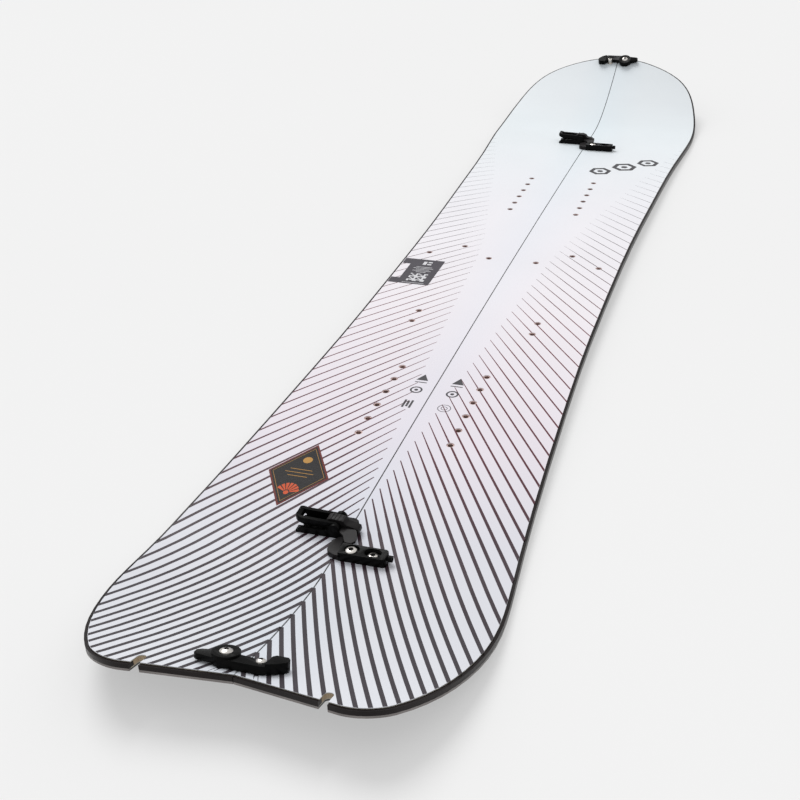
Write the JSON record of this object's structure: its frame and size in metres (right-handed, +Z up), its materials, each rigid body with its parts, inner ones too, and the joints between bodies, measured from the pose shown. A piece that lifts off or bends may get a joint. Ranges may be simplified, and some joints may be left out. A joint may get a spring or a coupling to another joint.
{
  "type": "splitboard",
  "caption": "Directional swallow-tail splitboard: two sandwich-built skis joined along the seam by a rotating hook at each tip and an over-centre lever clip near each foot.",
  "frame": {"origin": "middle of the footprint, on the surface the board stands on", "axes": "+Y along the board towards the nose, +X across it to the right as seen from the tail, +Z up from the base to the deck"},
  "size_m": [0.302, 1.5246, 0.0768],
  "materials": {
    "base": "sintered polyethylene, fine stone grind",
    "edge_steel": "ground",
    "glass_laminate": "resin and glass fibre",
    "core_wood": "lengthwise strips",
    "tip_spacer": "matte",
    "sidewall": "satin",
    "topsheet": "satin white with dark stripes",
    "insert_steel": "matte",
    "clip_black": "black anodised",
    "clip_grey": "dark grey, satin",
    "bright_steel": "polished",
    "black_screw": "black oxide",
    "washer_plastic": "satin"
  },
  "bodies": {
    "left_ski": {"left_base_sheet": "base", "left_steel_edge": "edge_steel", "left_lower_laminate": "glass_laminate", "left_wood_core": "core_wood", "left_nose_spacer": "tip_spacer", "left_tail_spacer": "tip_spacer", "left_outer_sidewall": "sidewall", "left_seam_sidewall": "sidewall", "left_upper_laminate": "glass_laminate", "left_topsheet": "topsheet", "left_stance_inserts": "insert_steel", "left_touring_inserts": "insert_steel", "left_clip_inserts": "insert_steel", "nose_stud": "bright_steel", "tail_pivot_screw": "bright_steel", "tail_pivot_washer": "washer_plastic", "front_lever_base": "clip_black", "front_lever_tab": "clip_grey", "front_hinge_pins": "black_screw", "front_lever_screws": "black_screw", "rear_lever_base": "clip_black", "rear_lever_tab": "clip_grey", "rear_hinge_pins": "black_screw", "rear_lever_screws": "black_screw"},
    "right_ski": {"right_base_sheet": "base", "right_steel_edge": "edge_steel", "right_lower_laminate": "glass_laminate", "right_wood_core": "core_wood", "right_nose_spacer": "tip_spacer", "right_tail_spacer": "tip_spacer", "right_outer_sidewall": "sidewall", "right_seam_sidewall": "sidewall", "right_upper_laminate": "glass_laminate", "right_topsheet": "topsheet", "right_stance_inserts": "insert_steel", "right_touring_inserts": "insert_steel", "right_clip_inserts": "insert_steel", "tail_stud": "bright_steel", "nose_pivot_screw": "bright_steel", "nose_pivot_washer": "washer_plastic", "front_catch_screws": "bright_steel", "front_catch_washer": "clip_black", "rear_catch_screws": "bright_steel", "rear_catch_washer": "clip_black"},
    "nose_hook": {"nose_hook": "clip_black"},
    "tail_hook": {"tail_hook": "clip_black"},
    "front_lever": {"front_lever": "clip_black", "front_link_pin": "black_screw"},
    "front_link": {"front_draw_link": "clip_grey"},
    "front_catch": {"front_catch_body": "clip_black", "front_catch_tab": "clip_grey", "front_catch_rod": "bright_steel"},
    "front_adjuster": {"front_adjuster": "black_screw"},
    "rear_lever": {"rear_lever": "clip_black", "rear_link_pin": "black_screw"},
    "rear_link": {"rear_draw_link": "clip_grey"},
    "rear_catch": {"rear_catch_body": "clip_black", "rear_catch_tab": "clip_grey", "rear_catch_rod": "bright_steel"},
    "rear_adjuster": {"rear_adjuster": "black_screw"}
  },
  "joints": [
    {"name": "ski_split", "type": "slide", "parent": "left_ski", "child": "right_ski", "axis": [1, 0, 0], "range_m": [0, 0.3]},
    {"name": "nose_hook_turn", "type": "hinge", "parent": "right_ski", "child": "nose_hook", "pos_m": [0.0125, 0.74804, 0.06902], "axis": [0, 0.4463, -0.8949], "range_deg": [0, 110]},
    {"name": "tail_hook_turn", "type": "hinge", "parent": "left_ski", "child": "tail_hook", "pos_m": [-0.0125, -0.7347, 0.03914], "axis": [0, -0.2957, -0.9553], "range_deg": [0, 110]},
    {"name": "front_lever_lift", "type": "hinge", "parent": "left_ski", "child": "front_lever", "pos_m": [-0.008, 0.48514, 0.01679], "axis": [0, 0.9998, -0.0183], "range_deg": [0, 110]},
    {"name": "front_link_swing", "type": "hinge", "parent": "front_lever", "child": "front_link", "pos_m": [-0.0135, 0.48514, 0.01679], "axis": [0, 0.9998, -0.0183], "range_deg": [-140, 0]},
    {"name": "front_adjuster_turn", "type": "hinge", "parent": "right_ski", "child": "front_adjuster", "pos_m": [0.0443, 0.4557, 0.01453], "axis": [1, 0, 0], "range_deg": [-720, 0]},
    {"name": "front_catch_slide", "type": "slide", "parent": "right_ski", "child": "front_catch", "axis": [1, 0, 0], "range_m": [-0.0016, 0]},
    {"name": "rear_lever_lift", "type": "hinge", "parent": "left_ski", "child": "rear_lever", "pos_m": [-0.008, -0.54479, 0.01624], "axis": [0, 0.9994, 0.0355], "range_deg": [0, 110]},
    {"name": "rear_link_swing", "type": "hinge", "parent": "rear_lever", "child": "rear_link", "pos_m": [-0.0135, -0.54479, 0.01624], "axis": [0, 0.9994, 0.0355], "range_deg": [-140, 0]},
    {"name": "rear_adjuster_turn", "type": "hinge", "parent": "right_ski", "child": "rear_adjuster", "pos_m": [0.0443, -0.57407, 0.0124], "axis": [1, 0, 0], "range_deg": [-720, 0]},
    {"name": "rear_catch_slide", "type": "slide", "parent": "right_ski", "child": "rear_catch", "axis": [1, 0, 0], "range_m": [-0.0016, 0]}
  ],
  "couplings": [
    {"joint": "front_link_swing", "follows": "front_lever_lift", "ratio": -1.22},
    {"joint": "front_adjuster_turn", "follows": "front_catch_slide", "rad_per_m": 7854},
    {"joint": "rear_link_swing", "follows": "rear_lever_lift", "ratio": -1.22},
    {"joint": "rear_adjuster_turn", "follows": "rear_catch_slide", "rad_per_m": 7854}
  ]
}
